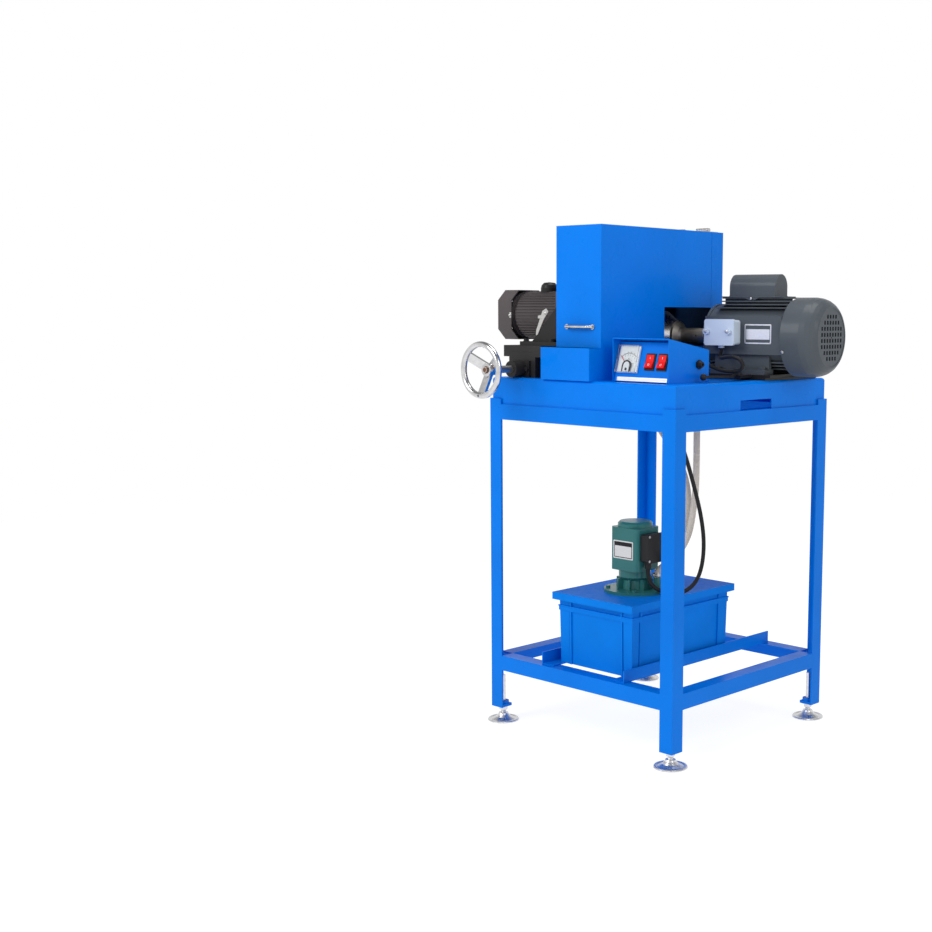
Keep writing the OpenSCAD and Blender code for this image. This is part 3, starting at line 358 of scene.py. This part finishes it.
LOOKS = {
    "leg_angles": frame_paint, "upper_rails": frame_paint, "lower_rails": frame_paint,
    # The splash basin, rear guard and hood get blue paint with painted shade inside
    "bed_pan": sheet_paint, "splash_basin": basin_painted_shade, "rear_guard": guard_painted_shade,
    "hood": hood_painted_shade, "control_box": sheet_paint, "control_panel": sheet_paint,
    "hinge_frame_leaves": steel, "hinge_hood_leaves": steel, "hood_handle": chrome,
    "ammeter_case": white_plastic, "ammeter_window": window, "needle": red_plastic,
    "rocker_bezels": black_plastic, "rocker_left": red_plastic, "rocker_right": red_plastic,
    "box_gland": black_plastic, "slide_base": slide_paint, "saddle": slide_paint,
    "screw_bearing": slide_paint, "swivel_base": black_paint, "motor_plate": black_paint,
    "coolant_hose": hose_blue, "coolant_nozzle": nozzle_orange,
    "supply_hose": hose_clear, "return_hose": hose_clear,
    "pump_lead": black_rubber, "motor_lead": black_rubber,
    "tank_body": crate_plastic, "tank_lid": crate_plastic,
    "pump_flange": pump_paint, "pump_motor": pump_paint, "pump_junction_box": black_plastic,
    "foot_front_left": zinc, "foot_front_right": zinc,
    "foot_rear_left": zinc, "foot_rear_right": zinc,
    "head_bracket": black_paint, "head_plate": black_paint,
    "gearmotor_body": gear_paint, "gearmotor_fan_cover": gear_paint,
    "head_fittings": black_plastic, "spindle": steel, "blade": blade_steel,
    "blade_clamp": clamp_alu, "blade_screw": black_paint, "lead_screw": steel,
    "handwheel": chrome, "motor_body": motor_paint, "motor_cowl": motor_paint,
    "capacitor_cover": motor_paint, "terminal_box": terminal_paint,
    "rotor_shaft": steel, "wheel_adapter": cast, "cup_wheel": cup_alu,
    "abrasive_ring": abrasive, "lock_lever": black_paint, "pump_rotor": steel,
}
for name, look in LOOKS.items():
    mesh = nodes[name].data
    mesh.materials.clear()
    mesh.materials.append(look)
for tube, look, finish in ((supply, hose_clear, "clear_hose"), (back, hose_clear, "clear_hose"),
                           (pump_cable, black_rubber, "black_rubber"),
                           (motor_cable, black_rubber, "black_rubber")):
    tube.data.materials.append(look)


# ---------------------------------------------------------------- pieces

class Shape:
    """Collects mesh in one local frame, in mm, then becomes one piece."""

    def __init__(self, matrix=MACHINE):
        self.bm = bmesh.new()
        self.matrix = matrix

    def box(self, lo, hi, bevel):
        """Box between two corners, with rounded edges."""
        made = bmesh.ops.create_cube(self.bm, size=1)["verts"]
        lo, hi = Vector(lo), Vector(hi)
        for v in made:
            v.co = Vector([lo[i] + (v.co[i] + 0.5) * (hi[i] - lo[i]) for i in range(3)])
        edges = list(dict.fromkeys(e for v in made for e in v.link_edges))
        bmesh.ops.bevel(self.bm, geom=edges, offset=bevel, segments=2,
                        profile=0.5, affect="EDGES")
        return self

    def lathe(self, base, axis, profile, sides=28):
        """Turned shape: profile points are (height along the axis, radius)."""
        turn = Vector(axis).normalized().to_track_quat("Z", "Y").to_matrix().to_4x4()
        place = Matrix.Translation(Vector(base)) @ turn
        rings = []
        for h, r in profile:
            if r < 0.001:
                rings.append([self.bm.verts.new(place @ Vector((0, 0, h)))])
            else:
                turns = [2 * math.pi * k / sides for k in range(sides)]
                points = [Vector((r * math.cos(a), r * math.sin(a), h)) for a in turns]
                rings.append([self.bm.verts.new(place @ point) for point in points])
        for a, b in zip(rings, rings[1:]):
            for k in range(sides):
                q = [a[k % len(a)], a[(k + 1) % len(a)], b[(k + 1) % len(b)], b[k % len(b)]]
                q = list(dict.fromkeys(q))
                if len(q) > 2:
                    self.bm.faces.new(q)
        for ring, flip in ((rings[0], True), (rings[-1], False)):
            if len(ring) > 1:
                self.bm.faces.new(ring[::-1] if flip else ring)
        return self

    def plate(self, outline, z0, z1):
        """Flat plate with a given outline, between two levels."""
        low = [self.bm.verts.new((x, y, z0)) for x, y in outline]
        high = [self.bm.verts.new((x, y, z1)) for x, y in outline]
        self.bm.faces.new(low[::-1])
        self.bm.faces.new(high)
        n = len(outline)
        for k in range(n):
            self.bm.faces.new((low[k], low[(k + 1) % n], high[(k + 1) % n], high[k]))
        return self

    def arc(self, centre, r0, r1, a0, a1, z0, z1, steps=24):
        """Flat band along an arc, angles in degrees."""
        ring = []
        for k in range(steps + 1):
            a = math.radians(a0 + (a1 - a0) * k / steps)
            c, s = math.cos(a), math.sin(a)
            ring.append([(centre[0] + r * c, centre[1] + r * s) for r in (r0, r1)])
        return self.plate([p[0] for p in ring] + [p[1] for p in ring[::-1]], z0, z1)

    def made(self, name, body, look, slot, crisp=30):
        """Finish as a piece on a body; edges over crisp degrees stay sharp."""
        self.bm.transform(self.matrix)
        bmesh.ops.recalc_face_normals(self.bm, faces=self.bm.faces)
        mesh = bpy.data.meshes.new(name)
        self.bm.to_mesh(mesh)
        self.bm.free()
        for f in mesh.polygons:
            f.use_smooth = True
        mesh.set_sharp_from_angle(angle=math.radians(crisp))
        mesh.materials.append(look)
        obj = bpy.data.objects.new(name, mesh)
        bpy.context.scene.collection.objects.link(obj)
        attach(obj, body)
        return obj


def rounded(x0, y0, x1, y1, r, steps=5):
    """Outline of a rounded rectangle."""
    out = []
    for cx, cy, a in ((x1 - r, y1 - r, 0), (x0 + r, y1 - r, 90),
                      (x0 + r, y0 + r, 180), (x1 - r, y0 + r, 270)):
        for k in range(steps + 1):
            t = math.radians(a + 90 * k / steps)
            out.append((cx + r * math.cos(t), cy + r * math.sin(t)))
    return out


def screw(shape, base, axis, r, h, recess=True):
    """Pan-head screw with a round drive recess."""
    profile = [(0, r), (h * 0.45, r), (h * 0.8, r * 0.86), (h, r * 0.6)]
    if recess:
        profile += [(h, r * 0.42), (h * 0.35, r * 0.36), (h * 0.35, 0)]
    else:
        profile += [(h * 1.04, 0)]
    return shape.lathe(base, axis, profile, 20)


def label(text, size, place, name):
    """A digit or letter on the dial; size in mm, place in the panel's frame."""
    data = bpy.data.curves.new(name, "FONT")
    data.body = text
    data.size = size / 1000
    data.align_x = "CENTER"
    data.align_y = "CENTER"
    data.extrude = 0.00004
    data.materials.append(print_black)
    obj = bpy.data.objects.new(name, data)
    loc, rot, _ = (PANEL @ Matrix.Translation(place)).decompose()
    obj.matrix_world = Matrix.LocRotScale(loc, rot, (1, 1, 1))
    bpy.context.scene.collection.objects.link(obj)
    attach(obj, "stand")


# Ammeter: dial face, scale, pivot cover and the zero screw
pivot = (38, 36)
DIAL_TOP = 2.6
INK_TOP = 2.75
COVER_BASE = 5.9
Shape(PANEL).plate(rounded(11.5, 24.5, 64.5, 79.5, 1.5), 2.25, DIAL_TOP).made(
    "dial_face", "stand", dial_white, "meter_white")
scale = Shape(PANEL).arc(pivot, 29.6, 30.3, 45, 135, DIAL_TOP, INK_TOP)
for k in range(26):
    a = math.radians(45 + 3.6 * k)
    major = k % 5 == 0
    r0, r1, w = 30.3, 34.2 if major else 32.2, 0.35 if major else 0.18
    c, s = math.cos(a), math.sin(a)
    scale.plate([(pivot[0] + r * c - e * w * s, pivot[1] + r * s + e * w * c)
                 for r, e in ((r0, -1), (r1, -1), (r1, 1), (r0, 1))], DIAL_TOP, INK_TOP)
scale.made("dial_scale", "stand", print_black, "black_plastic")
for k in range(6):
    a = math.radians(135 - 18 * k)
    label(str(k), 5.2, (pivot[0] + 25.6 * math.cos(a), pivot[1] + 25.6 * math.sin(a), 2.64),
          "dial_number_%d" % k)
label("A", 7, (38, 52.5, 2.64), "dial_unit")
Shape(PANEL).arc(pivot, 9.5, 13, 0, 180, COVER_BASE, 7.6).plate(
    [(25, 22), (28.5, 22), (28.5, 36), (25, 36)], COVER_BASE, 7.6).plate(
    [(47.5, 22), (51, 22), (51, 36), (47.5, 36)], COVER_BASE, 7.6).made(
    "dial_cover_rim", "stand", black_plastic, "black_plastic")
Shape(PANEL).arc(pivot, 0.2, 9.4, 0, 180, COVER_BASE, 7.0).plate(
    [(28.6, 22), (47.4, 22), (47.4, 35.9), (28.6, 35.9)], COVER_BASE, 7.0).made(
    "dial_cover", "stand", white_plastic, "meter_white")
screw(Shape(PANEL), (38, 27.5, 7.0), (0, 0, 1), 3.2, 1.2).made(
    "dial_zero_screw", "stand", black_plastic, "black_plastic")

# Blank label under the instruments
Shape(PANEL).plate(rounded(10, 1.2, 161, 10.2, 1), 0.01, 0.45).made(
    "panel_label", "stand", label_grey, "meter_white")
Shape(PANEL).plate(rounded(12.5, 2.8, 158.5, 8.6, 0.6), 0.45, 0.52).made(
    "panel_label_field", "stand", dial_white, "meter_white")

# On and off marks on the rockers, whose faces rise towards both ends
ROCKER_RISE = 2.6
ROCKER_RUN = 15.4
MARK_PLACE = 8.2
tip = math.atan2(ROCKER_RISE, ROCKER_RUN)
mark_height = 6 + MARK_PLACE * ROCKER_RISE / ROCKER_RUN
for side, x in (("left", 103.5), ("right", 140)):
    rocker = (PANEL @ Matrix.Translation((x, 47, -2))
              @ Matrix.Rotation(math.radians(-9), 4, "X"))
    upper = (rocker @ Matrix.Translation((0, MARK_PLACE, mark_height))
             @ Matrix.Rotation(tip, 4, "X"))
    lower = (rocker @ Matrix.Translation((0, -MARK_PLACE, mark_height))
             @ Matrix.Rotation(-tip, 4, "X"))
    Shape(upper).plate(rounded(-0.45, -2.6, 0.45, 2.6, 0.3, 2), 0.02, 0.14).made(
        "rocker_%s_on_mark" % side, "rocker " + side, print_white, "meter_white")
    Shape(lower).arc((0, 0), 1.9, 2.7, 0, 179.9, 0.02, 0.14, 16).arc(
        (0, 0), 1.9, 2.7, 180, 359.9, 0.02, 0.14, 16).made(
        "rocker_%s_off_mark" % side, "rocker " + side, print_white, "meter_white")

# Blank rating plates on both motors
face = MOTOR @ Matrix.Translation((0, -83, 0)) @ Matrix.Rotation(math.radians(90), 4, "X")
Shape(face).plate(rounded(296, -16, 369, 31, 3), 0.02, 0.7).made(
    "motor_plate_blank", "grinder", plate_alu, "turned_alu")
Shape(face).plate(rounded(299, -13, 366, 28, 1.5), 0.7, 0.76).made(
    "motor_plate_field", "grinder", motor_paint, "motor_grey")
Shape(face).plate(rounded(300.5, -5.5, 364.5, 19, 0.8), 0.76, 0.84).made(
    "motor_plate_band", "grinder", plate_alu, "turned_alu")
rivets = Shape(face)
for x in (298.6, 366.4):
    for y in (-13.4, 28.4):
        screw(rivets, (x, y, 0.7), (0, 0, 1), 1.5, 0.8, False)
rivets.made("motor_plate_rivets", "grinder", steel, "bright_steel")

face = MACHINE @ Matrix.Translation((0, 137, 0)) @ Matrix.Rotation(math.radians(90), 4, "X")
Shape(face).plate(rounded(294, 450, 358, 495, 2), 0.02, 0.6).made(
    "pump_plate_blank", "stand", plate_alu, "turned_alu")
Shape(face).plate(rounded(297, 453, 355, 492, 1), 0.6, 0.66).made(
    "pump_plate_field", "stand", print_black, "black_plastic")
Shape(face).plate(rounded(299, 455, 353, 482, 0.6), 0.66, 0.72).made(
    "pump_plate_band", "stand", plate_alu, "turned_alu")

# Screws: junction box, terminal box, cowl, capacitor cover, gearbox, fan cover
heads = Shape()
for dy in (-27, 27):
    for dz in (-30, 30):
        screw(heads, (396, 181 + dy, 480 + dz), (1, 0, 0), 3.4, 2.2)
heads.made("junction_box_screws", "stand", steel, "bright_steel")
heads = Shape(MOTOR)
for x in (210, 270):
    screw(heads, (x, -125.6, 13), (0, -1, 0), 4.2, 1.6)
for a in (201, 291, 21, 111):
    c, s = math.cos(math.radians(a)), math.sin(math.radians(a))
    screw(heads, (402, 95.5 * c, 95.5 * s), (0, c, s), 4.2, 2.6)
screw(heads, (285, -37, 92.2), (0, -1, 0), 3.0, 1.5)
screw(heads, (285, 37, 92.2), (0, 1, 0), 3.0, 1.5)
heads.made("motor_screws", "grinder", steel, "bright_steel")
heads = Shape()
for dy in (-52, 52):
    screw(heads, (130, 175 + dy, 1101), (0, 0, 1), 3.4, 2.2)
    screw(heads, (130, 175 + dy, 983), (0, 0, -1), 3.4, 2.2)
for s in (-1, 1):
    heads.box((-47, 175 + s * 63.0 - 0.8, 1034), (-40.5, 175 + s * 63.0 + 0.8, 1048), 0.5)
    screw(heads, (-46, 175 + s * 63.6, 1041), (0, s, 0), 3.2, 2)
heads.made("gearmotor_screws", "carriage", steel, "bright_steel")

# Earth tag on the gusset's edge
tag = Shape(MACHINE @ Matrix.Translation((0, 60, 0)) @ Matrix.Rotation(math.radians(90), 4, "X"))
tag.plate([(103, 992), (109, 994), (127, 1026), (132, 1034), (146, 1050), (138, 1058),
           (126, 1052), (121, 1042), (110, 1040), (110, 1034), (117, 1033), (104, 1004)],
          0.05, 1.6)
tag.made("earth_tag", "carriage", steel, "bright_steel")
screw(Shape(), (135, 58.4, 1046), (0, -1, 0), 3.6, 2.2).made(
    "earth_tag_screw", "carriage", steel, "bright_steel")

# Hose clamps
for name, base, axis in (("supply_low", (383, 199, 406), (0, 0, 1)),
                         ("supply_top", (300, 524, 1158), (0, 0, 1)),
                         ("return_top", (258, 300, 836.5), (0, 0, 1))):
    clamp = Shape().lathe(base, axis, [(0, 8.2), (0, 9.5), (0.8, 9.9), (1.6, 9.4), (7.4, 9.4),
                                       (8.2, 9.9), (9, 9.5), (9, 8.2)], 40)
    x, y, z = base
    clamp.box((x - 5, y - 14.2, z + 0.6), (x + 5, y - 9.2, z + 8.4), 1.2)
    screw(clamp, (x + 5, y - 11.8, z + 4.5), (1, 0, 0), 3.0, 4)
    clamp.made("clamp_" + name, "stand", steel, "bright_steel")

# Handwheel: hub washer and nut
hub = Shape().lathe((76, -83.9, 910), (0, -1, 0), [
    (0, 8.9), (1.6, 8.9), (2.0, 8.5), (2.0, 6.2), (4.6, 6.2), (5.2, 5.6), (5.2, 0)], 36)
hub.made("handwheel_nut", "feed screw", bronze, "bright_steel")

# Threads on the levelling studs, between the pad and the lock nut
for name, x, y in (("fl", 21, 21), ("fr", 579, 21), ("rl", 21, 579), ("rr", 579, 579)):
    profile = [(0, 5.5)]
    for k in range(4):
        profile += [(0.2 + 1.75 * k, 6.05), (1.05 + 1.75 * k, 6.5), (1.9 + 1.75 * k, 6.05)]
    profile += [(7.4, 5.5)]
    Shape().lathe((x, y, 28.1), (0, 0, 1), profile, 32).made(
        "stud_thread_" + name, "foot " + name, zinc, "chrome")

# Weld beads where the lower rails meet the legs
beads = Shape()
BEAD_RADIUS = 2.2


def bead(a, b):
    """A row of overlapping ripples from a to b."""
    a, b = Vector(a), Vector(b)
    n = max(2, int((b - a).length / BEAD_RADIUS))
    for k in range(n + 1):
        p = a.lerp(b, k / n)
        made = bmesh.ops.create_icosphere(beads.bm, subdivisions=2,
                                         radius=BEAD_RADIUS)["verts"]
        for v in made:
            v.co = v.co * (1 + 0.06 * math.sin(9.1 * k + 3 * v.co.z)) + p


for x, sx in ((4, 1), (596, -1)):
    for y, sy in ((4, 1), (596, -1)):
        bead((x, y + 34 * sy, 149), (x, y + 34 * sy, 179))
        bead((x + 34 * sx, y, 149), (x + 34 * sx, y, 179))
beads.made("weld_beads", "stand", weld_paint, "frame_blue", 180)

# ---------------------------------------------------------------- stage

floor_mesh = bpy.data.meshes.new("floor")
FLOOR_RADIUS = 4.5
FLOOR_SIDES = 96
rim = []
for k in range(FLOOR_SIDES):
    a = 2 * math.pi * k / FLOOR_SIDES
    rim.append((FLOOR_RADIUS * math.cos(a), FLOOR_RADIUS * math.sin(a), 0))
floor_mesh.from_pydata(rim, [], [tuple(range(FLOOR_SIDES))])
floor = bpy.data.objects.new("floor", floor_mesh)
bpy.context.scene.collection.objects.link(floor)
floor_look = new_material("floor_look", (0.30, 0.30, 0.30), 0.9, Emission_Color=(1, 1, 1, 1),
                          Emission_Strength=0.84, Specular_IOR_Level=0.0)
floor_mesh.materials.append(floor_look)

world = bpy.data.worlds.new("world")
bpy.context.scene.world = world
world.use_nodes = True
sky = world.node_tree
sky_coords = sky.nodes.new("ShaderNodeTexCoord")
sky_parts = sky.nodes.new("ShaderNodeSeparateXYZ")
sky_ramp = sky.nodes.new("ShaderNodeValToRGB")
for e, (at, value) in zip(sky_ramp.color_ramp.elements, ((0.3, 1.0), (0.75, 0.3))):
    e.position = at
    e.color = (value, value, value, 1)
sky.links.new(sky_coords.outputs["Generated"], sky_parts.inputs["Vector"])
sky.links.new(sky_parts.outputs["Z"], sky_ramp.inputs["Fac"])
sky.links.new(sky_ramp.outputs["Color"], sky.nodes["Background"].inputs["Color"])
sky.nodes["Background"].inputs["Strength"].default_value = 1.0


def area_light(name, place, target, size, power):
    """Rectangular lamp that faces a target, in metres and watts."""
    data = bpy.data.lights.new(name, "AREA")
    data.shape = "RECTANGLE"
    data.size, data.size_y = size
    data.energy = power
    lamp = bpy.data.objects.new(name, data)
    lamp.location = place
    lamp.rotation_euler = (Vector(target) - Vector(place)).to_track_quat("-Z", "Y").to_euler()
    bpy.context.scene.collection.objects.link(lamp)


area_light("key", (-0.9, -3.2, 2.6), (0, 0, 0.8), (1.6, 1.6), 62)
area_light("right", (3.2, -0.6, 2.6), (0, 0, 1.0), (1.2, 1.2), 15)
area_light("top", (0.2, 0.2, 3.4), (0, 0, 0.8), (1.6, 1.6), 40)
